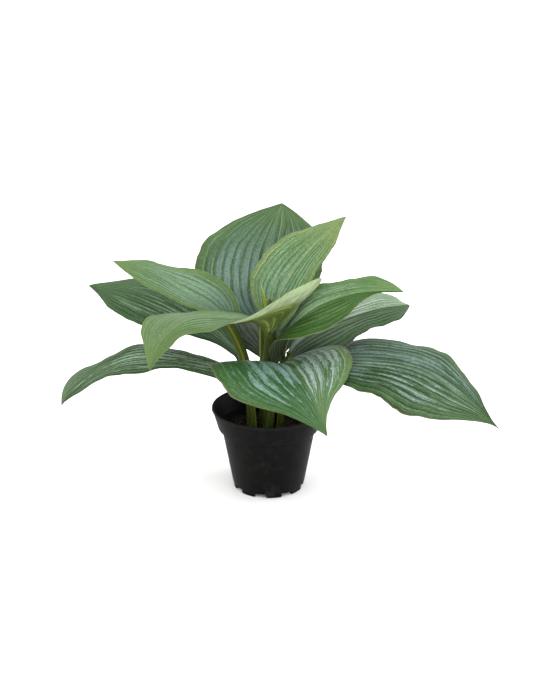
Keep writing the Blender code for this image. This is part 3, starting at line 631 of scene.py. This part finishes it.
def leaf_markings():
    """Masks over a leaf's map: veins with a painted-shade band on one side, waxy bands leaning to the
    painted-lit side, margin, midrib, stalk and fine grains.
    """
    group, given, result = new_group(
        "leaf_markings",
        {"Map": None, "Veins": 7.0, "Wax": 0.5, "Wax Reach": 0.8, "Ragged": 1.0, "Soft": 0.3, "Seed": 0.0},
        {name: "NodeSocketFloat" for name in (
            "Vein", "Line", "Streak", "Margin", "Outer", "Midrib", "Stalk", "Base", "Right", "Grain",
            "Mottle", "Dots", "Hairline", "Roll", "Crinkle")},
    )
    split = group.nodes.new("ShaderNodeSeparateXYZ")
    group.links.new(given.outputs["Map"], split.inputs[0])
    across = maths(group, "MULTIPLY_ADD", split.outputs[0], 2.0, -1.0)
    out = maths(group, "ABSOLUTE", across)
    along = maths(group, "DIVIDE", maths(group, "SUBTRACT", split.outputs[1], STALK_SHARE), 1 - STALK_SHARE)
    seed = given.outputs["Seed"]
    veins = given.outputs["Veins"]
    ragged = given.outputs["Ragged"]

    def centred(value, gain):
        """A noise about zero, at the given gain."""
        return maths(group, "MULTIPLY", maths(group, "SUBTRACT", value, 0.5), gain)

    def grain(side, length, detail=2.0, roughness=0.5):
        """Noise with this many grains over the blade's half width and over its length."""
        over = maths(group, "MULTIPLY", across, side)
        place = spot(group, over, maths(group, "MULTIPLY", along, length), seed)
        return cloud(group, place, 1.0, detail, roughness)

    def lane_noise(lanes, length, detail=3.0, roughness=0.6, distortion=0.0):
        """Noise drawn out along the ragged lanes between the veins."""
        over = maths(group, "MULTIPLY", lane, lanes)
        place = spot(group, over, maths(group, "MULTIPLY", along, length), seed)
        return cloud(group, place, 1.0, detail, roughness, distortion)

    wander = grain(6.0, 6.0)
    strayed = maths(group, "ADD", out, centred(wander, 0.035))
    turn = maths(group, "MULTIPLY", strayed, veins)
    puff = maths(group, "ABSOLUTE", maths(group, "SINE", maths(group, "MULTIPLY", turn, math.pi)))
    slope_light = maths(group, "SINE", maths(group, "MULTIPLY", turn, 2 * math.pi))
    worn = grain(16.0, 7.0)
    # Vein: a band along one side of each vein, where the upper face paints the shade of a rib's slope turned
    # from the light.
    vein = maths(group, "MULTIPLY", ramp(group, slope_light, 0.1, -0.9), ramp(group, worn, 0.36, 0.60))
    fading = ramp(group, grain(9.0, 4.0), 0.34, 0.58)
    line = maths(group, "MULTIPLY", maths(group, "SUBTRACT", 1.0, ramp(group, puff, 0.08, 0.40)), fading)

    jagged = centred(grain(30.0, 26.0, 3.0, 0.6), 0.5)
    lane = maths(group, "MULTIPLY_ADD", across, veins, maths(group, "MULTIPLY", jagged, ragged))
    broken = lane_noise(1.5, 3.6, 4.0, 0.62, 0.3)
    fine = lane_noise(5.0, 8.0)
    hair = lane_noise(11.0, 5.0, 2.0, 0.5)
    speck = lane_noise(8.0, 46.0, 3.0, 0.7)
    dots = grain(36.0, 78.0, 2.0, 0.7)
    near_base = maths(group, "MULTIPLY", given.outputs["Wax Reach"], 0.35)
    reach = maths(group, "SUBTRACT", 1.0, ramp(group, along, near_base, given.outputs["Wax Reach"]))
    inward = maths(group, "SUBTRACT", 1.0, ramp(group, out, 0.55, 0.95))
    place = maths(group, "MULTIPLY", reach, inward)
    level = maths(group, "MULTIPLY", centred(broken, 2.0), ragged)
    level = maths(group, "MULTIPLY_ADD", centred(fine, 1.0), ragged, level)
    level = maths(group, "ADD", centred(speck, 0.7), level)
    smooth = maths(group, "SUBTRACT", 1.0, ragged)
    # Painted light: the wax rises on one side of each vein and falls on the other, as if the ribs were lit
    # from one side.
    level = maths(group, "MULTIPLY_ADD", maths(group, "MULTIPLY", slope_light, 0.26), smooth, level)
    level = maths(group, "MULTIPLY_ADD", centred(puff, 0.5), ragged, level)
    level = maths(group, "MULTIPLY", level, maths(group, "MULTIPLY_ADD", place, 0.45, 0.55))
    level = maths(group, "MULTIPLY_ADD", place, given.outputs["Wax"], level)
    low = maths(group, "MULTIPLY_ADD", given.outputs["Soft"], -0.5, 0.36)
    streak = ramp(group, level, low, maths(group, "ADD", low, given.outputs["Soft"]))
    rolled = maths(group, "SUBTRACT", centred(wander, 0.08), across)
    outer = ramp(group, maths(group, "MAXIMUM", maths(group, "MULTIPLY", out, 0.9), along), 0.5, 1.0)

    masks = {
        "Vein": vein, "Line": line, "Streak": streak, "Outer": outer, "Grain": fine, "Mottle": speck,
        "Margin": ramp(group, out, 0.972, 0.990),
        "Midrib": maths(group, "SUBTRACT", 1.0, ramp(group, out, 0.01, 0.05)),
        "Stalk": maths(group, "SUBTRACT", 1.0, ramp(group, along, -0.02, 0.07)),
        "Base": maths(group, "SUBTRACT", 1.0, ramp(group, along, 0.02, 0.42)),
        "Right": ramp(group, across, -0.04, 0.04),
        "Dots": ramp(group, dots, 0.44, 0.62),
        "Hairline": ramp(group, hair, 0.60, 0.72),
        "Roll": ramp(group, rolled, 0.57, 0.67),
        "Crinkle": ramp(group, grain(7.0, 60.0, 3.0, 0.6), 0.35, 0.6),
    }
    for name, mask in masks.items():
        group.links.new(mask, result.inputs[name])
    return group


def marked(tree, finish, seed):
    """The markings group, set for one leaf and reading its map."""
    map_node = tree.nodes.new("ShaderNodeUVMap")
    map_node.uv_map = "leaf_map"
    node = tree.nodes.new("ShaderNodeGroup")
    node.node_tree = MARKINGS
    tree.links.new(map_node.outputs[0], node.inputs["Map"])
    node.inputs["Veins"].default_value = finish["veins"]
    node.inputs["Wax"].default_value, node.inputs["Wax Reach"].default_value = finish["wax"]
    node.inputs["Ragged"].default_value, node.inputs["Soft"].default_value = finish["edge"]
    node.inputs["Seed"].default_value = seed
    return node


def upper_material(name, finish, seed):
    """The waxy upper face: deep green with silvery bands beside pale veins, fresher green to the margin;
    painted shade in the grooves and towards the base, painted light and shade over each half.
    """
    material, tree, shader = new_material(name + "_upper", LEAF_SHINE)
    marks = marked(tree, finish, seed)
    deep, fresh, bloom = finish["deep"], finish["fresh"], finish["bloom"]
    pale = tuple(0.75 * (one + other) for one, other in zip(fresh, bloom))

    def layer(under, mask, strength, colour):
        """The colour laid over what is under it, where the mask is set."""
        return mixed(tree, maths(tree, "MULTIPLY", marks.outputs[mask], strength), under, colour)

    colour = mixed(tree, marks.outputs["Outer"], deep, fresh)
    colour = layer(colour, "Grain", 0.7, tinted(deep, 0.68))
    colour = layer(colour, "Streak", 0.88, bloom)
    colour = layer(colour, "Hairline", 0.75 * finish["line"], tinted(bloom, 1.2))
    # Painted shade: the grooves darkened on one side of each vein, as if the ribs were lit from the other
    # side.
    colour = layer(colour, "Vein", finish["groove"], tinted(deep, 0.55))
    colour = layer(colour, "Line", finish["line"], pale)
    colour = layer(colour, "Dots", finish["dots"], tinted(deep, 0.62))
    flecks = maths(tree, "MULTIPLY", ramp(tree, marks.outputs["Mottle"], 0.54, 0.68), finish["dots"])
    colour = mixed(tree, flecks, colour, tinted(fresh, 1.3))
    colour = layer(colour, "Midrib", finish["midrib"], tinted(fresh, 1.35))
    # Painted light and shade: a tint over each half that lifts the lit half and darkens the shaded one.
    half_light_colour = mixed(tree, marks.outputs["Right"], finish["half_light"][0], finish["half_light"][1])
    colour = mixed(tree, 1.0, colour, half_light_colour, "MULTIPLY")
    # Painted shade: the blade darkened towards its base, where the leaves shade one another.
    colour = mixed(tree, maths(tree, "MULTIPLY", marks.outputs["Base"], finish["shade"]), colour,
                   mixed(tree, 1.0, colour, BASE_SHADE, "MULTIPLY"))
    colour = layer(colour, "Margin", 1.0, finish["rim"])
    colour = layer(colour, "Stalk", 1.0, STALK_OLIVE)
    tree.links.new(colour, shader.inputs["Base Color"])
    rough = maths(tree, "MULTIPLY_ADD", marks.outputs["Streak"], 0.12, 0.40)
    rough = maths(tree, "MULTIPLY_ADD", marks.outputs["Grain"], 0.12, rough)
    tree.links.new(rough, shader.inputs["Roughness"])
    height = maths(tree, "MULTIPLY_ADD", marks.outputs["Mottle"], 0.5, marks.outputs["Grain"])
    height = maths(tree, "MULTIPLY_ADD", marks.outputs["Dots"], -0.4, height)
    tree.links.new(bump(tree, height, 0.0004, 0.5), shader.inputs["Normal"])
    return material


def under_material(name, finish, seed):
    """The paler, duller underside with raised veins; on one leaf the outer part of its left half is rolled up
    and paler, its own paler wax with painted light where it faces up.
    """
    material, tree, shader = new_material(name + "_under", LEAF_SHINE)
    marks = marked(tree, finish, seed)
    pale = finish["under"]
    dull = mixed(tree, marks.outputs["Grain"], pale, tinted(pale, 0.5))
    veined = mixed(tree, maths(tree, "MULTIPLY", marks.outputs["Vein"], 0.7), dull, tinted(pale, 1.9))
    # Painted light on the rolled margin of the front-left leaf, over the underside's own paler wax.
    crinkled = mixed(tree, marks.outputs["Crinkle"], tinted(LIT_ROLLED_MARGIN, 0.72), LIT_ROLLED_MARGIN)
    rolled = mixed(tree, marks.outputs["Roll"], veined, crinkled) if "lit_pale_roll" in finish else veined
    ribbed = mixed(tree, marks.outputs["Midrib"], rolled, UNDER_RIB)
    stalked = mixed(tree, marks.outputs["Stalk"], ribbed, STALK_OLIVE)
    tree.links.new(stalked, shader.inputs["Base Color"])
    tree.links.new(maths(tree, "MULTIPLY_ADD", marks.outputs["Grain"], 0.15, 0.5), shader.inputs["Roughness"])
    height = maths(tree, "ADD", marks.outputs["Vein"], marks.outputs["Grain"])
    height = maths(tree, "ADD", marks.outputs["Crinkle"], height)
    tree.links.new(bump(tree, height, 0.0005, 0.6), shader.inputs["Normal"])
    return material


def rim_material(name, finish, seed):
    """The thin cut edge of the blade and the sharp edges of the stalk's channel."""
    material, tree, shader = new_material(name + "_rim", LEAF_SHINE)
    marks = marked(tree, finish, seed)
    edge = mixed(tree, marks.outputs["Mottle"], finish["rim"], tinted(finish["rim"], 0.7))
    stalked = mixed(tree, marks.outputs["Stalk"], edge, STALK_YELLOW)
    tree.links.new(stalked, shader.inputs["Base Color"])
    tree.links.new(maths(tree, "MULTIPLY_ADD", marks.outputs["Grain"], 0.2, 0.4), shader.inputs["Roughness"])
    return material


# ---------------------------------------------------------------- pot

def pot_profile():
    """Down the outside from the lip, under the feet to the middle, then over the floor and up the inside."""
    band_foot = POT_HEIGHT - BAND_HEIGHT
    floor_under = FLOOR_RISE
    floor_top = floor_under + FLOOR_THICKNESS
    turns = np.linspace(-math.pi / 2, math.pi / 2, LIP_ARC_POINTS)
    lip_arc = [(RIM_RADIUS - WALL / 2 + WALL / 2 * math.sin(a),
                POT_HEIGHT - WALL / 2 + WALL / 2 * math.cos(a))
               for a in turns]
    return lip_arc + [
        (RIM_RADIUS, POT_HEIGHT - 2.2),
        (RIM_RADIUS - LIP / 2, POT_HEIGHT - 2.8),
        (RIM_RADIUS - LIP, POT_HEIGHT - 3.2),
        (RIM_RADIUS - LIP - 0.15, POT_HEIGHT - 4.2),
        (BAND_FOOT_RADIUS + 0.1, band_foot + 1.0),
        (BAND_FOOT_RADIUS - 0.2, band_foot + 0.35),
        (BAND_FOOT_RADIUS - 0.8, band_foot),
        (WALL_TOP_RADIUS + 0.5, band_foot - 0.1),
        (WALL_TOP_RADIUS + 0.1, band_foot - 0.4),
        (WALL_TOP_RADIUS - 0.1, band_foot - 1.2),
        (FOOT_RADIUS + 0.8, FLOOR_RISE + 1.0),
        (FOOT_RADIUS + 0.3, FLOOR_RISE),
        (FOOT_RADIUS, FLOOR_RISE - 0.6),
        (FOOT_RADIUS - 0.3, 0.3),
        (FOOT_RADIUS - 0.6, 0.0),
        (FOOT_RADIUS - FOOT_RING_WIDTH + 0.3, 0.0),
        (FOOT_RADIUS - FOOT_RING_WIDTH, 0.3),
        (FOOT_RADIUS - FOOT_RING_WIDTH, floor_under),
        (0.0, floor_under),
        (0.0, floor_top),
        (FOOT_RADIUS - WALL, floor_top),
        (WALL_TOP_RADIUS - WALL, band_foot + 1.0),
        (BAND_FOOT_RADIUS - WALL, band_foot + 2.0),
        (RIM_RADIUS - WALL - LIP, POT_HEIGHT - 3.2),
        lip_arc[0],
    ]


def make_pot(material):
    """A turned shell with notches between its feet and holes in its floor."""
    profile = pot_profile()
    mesh = bpy.data.meshes.new("grower_pot")
    points = [(r * MM, 0.0, z * MM) for r, z in profile]
    edges = [(i, i + 1) for i in range(len(profile) - 1)]
    mesh.from_pydata(points, edges, [])
    mesh.materials.append(material)
    pot = bpy.data.objects.new("grower_pot", mesh)
    bpy.context.collection.objects.link(pot)
    bpy.ops.object.select_all(action="DESELECT")
    bpy.context.view_layer.objects.active = pot
    pot.select_set(True)
    screw = pot.modifiers.new("turn", "SCREW")
    screw.steps = screw.render_steps = POT_STEPS
    screw.use_merge_vertices = True
    screw.merge_threshold = 0.00001
    bpy.ops.object.modifier_apply(modifier="turn")
    notch_angle = math.radians(360 / FOOT_COUNT - FOOT_ANGLE)
    ring = FOOT_RADIUS - FOOT_RING_WIDTH / 2
    cutters = []
    for number in range(FOOT_COUNT):
        turn = math.radians(FIRST_FOOT + 360 / FOOT_COUNT * (number + 0.5))
        place = (ring * math.cos(turn) * MM, ring * math.sin(turn) * MM, 0)
        bpy.ops.mesh.primitive_cube_add(size=1, location=place, rotation=(0, 0, turn))
        notch = bpy.context.object
        notch_width = 2 * ring * math.tan(notch_angle / 2)
        notch.scale = (3 * FOOT_RING_WIDTH * MM, notch_width * MM, 2 * NOTCH_HEIGHT * MM)
        cutters.append(notch)
        place = (DRAIN_RING * math.cos(turn) * MM, DRAIN_RING * math.sin(turn) * MM, FLOOR_RISE * MM)
        bpy.ops.mesh.primitive_cylinder_add(vertices=DRAIN_SIDES, radius=DRAIN_RADIUS * MM,
                                            depth=6 * FLOOR_THICKNESS * MM, location=place)
        cutters.append(bpy.context.object)
    joined = join(cutters)
    bpy.ops.object.select_all(action="DESELECT")
    bpy.context.view_layer.objects.active = pot
    pot.select_set(True)
    cut = pot.modifiers.new("cut", "BOOLEAN")
    cut.operation = "DIFFERENCE"
    cut.object = joined
    cut.solver = "EXACT"
    bpy.ops.object.modifier_apply(modifier="cut")
    bpy.data.objects.remove(joined)
    soften = pot.modifiers.new("soften", "BEVEL")
    soften.width = EDGE_SOFTNESS * MM
    soften.segments = 2
    soften.limit_method = "ANGLE"
    soften.angle_limit = math.radians(55)
    bpy.ops.object.modifier_apply(modifier="soften")
    bpy.ops.object.shade_smooth_by_angle(angle=math.radians(28))
    settle(pot, "pot", slot="pot")
    return pot


def join(objects):
    """The objects as one, with its place, turn and scale in its mesh."""
    bpy.ops.object.select_all(action="DESELECT")
    for one in objects:
        one.select_set(True)
    bpy.context.view_layer.objects.active = objects[0]
    bpy.ops.object.join()
    bpy.ops.object.transform_apply(location=True, rotation=True, scale=True)
    return bpy.context.object


def pot_material():
    """Matt black moulded plastic: fine grain, faint upright flow lines, dust towards the foot and lip."""
    material, tree, shader = new_material("moulded_black_plastic", 0.05)
    place = tree.nodes.new("ShaderNodeTexCoord").outputs["Object"]
    split = tree.nodes.new("ShaderNodeSeparateXYZ")
    tree.links.new(place, split.inputs[0])
    x, y, z = split.outputs
    angle = maths(tree, "ARCTAN2", y, x)
    flow_place = spot(tree, maths(tree, "MULTIPLY", angle, 9.0), maths(tree, "MULTIPLY", z, 6.0))
    flow = cloud(tree, flow_place, 2.0, 3.0)
    grain = cloud(tree, place, 2600.0, 2.0)
    dust = cloud(tree, place, 90.0, 5.0, 0.65)
    low = maths(tree, "SUBTRACT", 1.0, ramp(tree, z, 0.0, 0.03))
    high = ramp(tree, z, 0.084, 0.0895)
    dusty = maths(tree, "MULTIPLY", ramp(tree, dust, 0.45, 0.75), maths(tree, "MULTIPLY_ADD", low, 0.5, 0.25))
    dusty = maths(tree, "MULTIPLY_ADD", high, 0.25, dusty)
    black = mixed(tree, flow, (0.0018, 0.0018, 0.0018), (0.0036, 0.0036, 0.0034))
    colour = mixed(tree, dusty, black, (0.022, 0.0215, 0.020))
    tree.links.new(colour, shader.inputs["Base Color"])
    rough = maths(tree, "MULTIPLY_ADD", flow, 0.14, 0.40)
    tree.links.new(maths(tree, "MULTIPLY_ADD", dusty, 0.3, rough), shader.inputs["Roughness"])
    height = maths(tree, "MULTIPLY_ADD", flow, 0.8, grain)
    tree.links.new(bump(tree, height, 0.00006, 0.6), shader.inputs["Normal"])
    return material


# ---------------------------------------------------------------- soil

def soil_height(x, y):
    """Height of the soil in millimetres over a spot: a low dome, rolling lumps and small clods."""
    r = math.hypot(x, y) / SOIL_RADIUS
    lumps = 1.1 * noise.noise(Vector((x / 9.0, y / 9.0, 3.0)))
    clods = 0.8 * abs(noise.noise(Vector((x / 2.6, y / 2.6, 8.0))))
    return SOIL_TOP - SOIL_DOME * r**2 + lumps + clods - 0.6


def make_soil(materials):
    """A lumpy bed with loose crumbs and slivers of bark lying on it."""
    bpy.ops.object.select_all(action="DESELECT")
    bpy.ops.mesh.primitive_grid_add(x_subdivisions=BED_CELLS, y_subdivisions=BED_CELLS, size=2)
    bed = bpy.context.object
    bed.name = "soil_bed"
    for vertex in bed.data.vertices:
        x, y = vertex.co.x, vertex.co.y
        reach = max(abs(x), abs(y))
        turn = math.atan2(y, x)
        x, y = SOIL_RADIUS * reach * math.cos(turn), SOIL_RADIUS * reach * math.sin(turn)
        vertex.co = Vector((x, y, soil_height(x, y))) * MM
    deepen = bed.modifiers.new("deepen", "SOLIDIFY")
    deepen.thickness = BED_DEPTH * MM
    deepen.offset = -1
    bpy.ops.object.modifier_apply(modifier="deepen")
    bed.data.materials.append(materials[0])
    bpy.ops.object.shade_smooth()
    settle(bed, "soil", slot="soil")

    draw = random.Random(11)
    crumbs = []
    for _ in range(CRUMBS):
        crumbs.append(make_crumb(draw, draw.uniform(0.5, 1.5), (1.0, draw.uniform(0.6, 1.0), 0.7)))
    for _ in range(BARK_BITS):
        crumbs.append(make_crumb(draw, draw.uniform(1.2, 2.6), (1.0, 0.28, 0.2)))
    litter = join(crumbs)
    litter.name = "soil_litter"
    litter.data.materials.clear()
    for material in materials:
        litter.data.materials.append(material)
    for polygon in litter.data.polygons:
        polygon.material_index = int(polygon.index >= CRUMB_FACES * CRUMBS)
    settle(litter, "soil", slot="soil")


def make_crumb(draw, size, stretch):
    """One rough lump on the soil, at a drawn place and turn."""
    turn = draw.uniform(0, 2 * math.pi)
    reach = SOIL_RADIUS * math.sqrt(draw.uniform(0, 0.93))
    x, y = reach * math.cos(turn), reach * math.sin(turn)
    place = Vector((x, y, soil_height(x, y) + 0.25 * size)) * MM
    bpy.ops.mesh.primitive_ico_sphere_add(subdivisions=1, radius=size * MM, location=place,
                                          rotation=(draw.uniform(-0.5, 0.5), draw.uniform(-0.5, 0.5),
                                                    draw.uniform(0, 6.28)))
    crumb = bpy.context.object
    crumb.scale = stretch
    for vertex in crumb.data.vertices:
        vertex.co *= draw.uniform(0.7, 1.2)
    return crumb


def soil_material():
    """Moist dark compost with lighter fibres and reddish specks."""
    material, tree, shader = new_material("potting_soil")
    place = tree.nodes.new("ShaderNodeTexCoord").outputs["Object"]
    coarse = cloud(tree, place, 260.0, 6.0, 0.7)
    specks = cloud(tree, place, 900.0, 2.0)
    dark = mixed(tree, ramp(tree, coarse, 0.35, 0.7), (0.003, 0.002, 0.0015), (0.018, 0.010, 0.006))
    colour = mixed(tree, ramp(tree, specks, 0.62, 0.72), dark, (0.065, 0.020, 0.010))
    tree.links.new(colour, shader.inputs["Base Color"])
    tree.links.new(maths(tree, "MULTIPLY_ADD", coarse, 0.3, 0.65), shader.inputs["Roughness"])
    tree.links.new(bump(tree, coarse, 0.0012, 0.9), shader.inputs["Normal"])
    return material


def bark_material():
    """Slivers of reddish-brown bark."""
    material, tree, shader = new_material("bark_slivers")
    place = tree.nodes.new("ShaderNodeTexCoord").outputs["Object"]
    fibre = cloud(tree, place, 700.0, 3.0, 0.6)
    colour = mixed(tree, fibre, (0.015, 0.008, 0.005), (0.08, 0.035, 0.018))
    tree.links.new(colour, shader.inputs["Base Color"])
    tree.links.new(maths(tree, "MULTIPLY_ADD", fibre, 0.3, 0.6), shader.inputs["Roughness"])
    tree.links.new(bump(tree, fibre, 0.0004, 0.7), shader.inputs["Normal"])
    return material


# ---------------------------------------------------------------- stage

PLANT_MIDDLE = (0, 0, 0.14)
SOFTBOX_SIZE = (0.5, 1.2)
LENS = 72.1
CAMERA_PLACE = (0.0121, -1.370, 0.655)
CAMERA_TILT = 20.14


def floor_material():
    """A plain pale floor that hardly changes from place to place."""
    material, tree, shader = new_material("pale_floor")
    place = tree.nodes.new("ShaderNodeTexCoord").outputs["Object"]
    shade = cloud(tree, place, 1.5, 2.0)
    tree.links.new(mixed(tree, shade, (0.90, 0.90, 0.90), (0.93, 0.93, 0.93)), shader.inputs["Base Color"])
    shader.inputs["Roughness"].default_value = 0.8
    return material


def make_floor():
    """A wide plane just under the pot's feet."""
    bpy.ops.object.select_all(action="DESELECT")
    bpy.ops.mesh.primitive_plane_add(size=30, location=(0, 0, -0.0005))
    floor = bpy.context.object
    floor.name = "floor"
    floor.data.materials.append(floor_material())


def soft_light(name, place, aim, size, power):
    """A rectangular softbox that looks at the aim."""
    data = bpy.data.lights.new(name, "AREA")
    data.shape = "RECTANGLE"
    data.size, data.size_y = size
    data.energy = power
    light = bpy.data.objects.new(name, data)
    light.location = place
    light.rotation_euler = (Vector(aim) - Vector(place)).to_track_quat("-Z", "Y").to_euler()
    bpy.context.scene.collection.objects.link(light)


def soft_sun(name, turn, strength, spread):
    """An even light over the whole floor, so that it stays evenly pale out to its far end."""
    data = bpy.data.lights.new(name, "SUN")
    data.energy = strength
    data.angle = math.radians(spread)
    light = bpy.data.objects.new(name, data)
    light.rotation_euler = [math.radians(angle) for angle in turn]
    bpy.context.scene.collection.objects.link(light)


def light_scene():
    """Even light from above, a softbox on each side and a pale world."""
    soft_sun("overhead", (24, 18, 0), 2.1, 100)
    soft_light("left_softbox", (-1.1, 0.25, 0.45), PLANT_MIDDLE, SOFTBOX_SIZE, 4)
    soft_light("right_softbox", (1.1, 0.25, 0.45), PLANT_MIDDLE, SOFTBOX_SIZE, 8)
    world = bpy.data.worlds.new("studio")
    world.use_nodes = True
    world.node_tree.nodes["Background"].inputs["Color"].default_value = (1.0, 1.0, 1.0, 1.0)
    world.node_tree.nodes["Background"].inputs["Strength"].default_value = 1.5
    bpy.context.scene.world = world
    bpy.context.scene.view_settings.view_transform = "Standard"


def make_camera():
    """A long lens, level from side to side, that looks a little down."""
    data = bpy.data.cameras.new("view")
    data.lens = LENS
    data.sensor_width = 36.0
    data.clip_end = 50
    camera = bpy.data.objects.new("view", data)
    camera.location = CAMERA_PLACE
    camera.rotation_euler = (math.radians(90 - CAMERA_TILT), 0, 0)
    bpy.context.scene.collection.objects.link(camera)
    bpy.context.scene.camera = camera


# ---------------------------------------------------------------- build

MARKINGS = leaf_markings()

for number, (name, leaf) in enumerate({**LEAVES, **YOUNG_SHOOTS}.items()):
    finish = LEAF_FINISH[name]
    seed = 1.7 * number
    upper = upper_material(name, finish, seed)
    under = under_material(name, finish, seed)
    make_leaf(name, leaf, finish, [upper, under, rim_material(name, finish, seed)])

make_pot(pot_material())
make_soil([soil_material(), bark_material()])
make_floor()
light_scene()
make_camera()
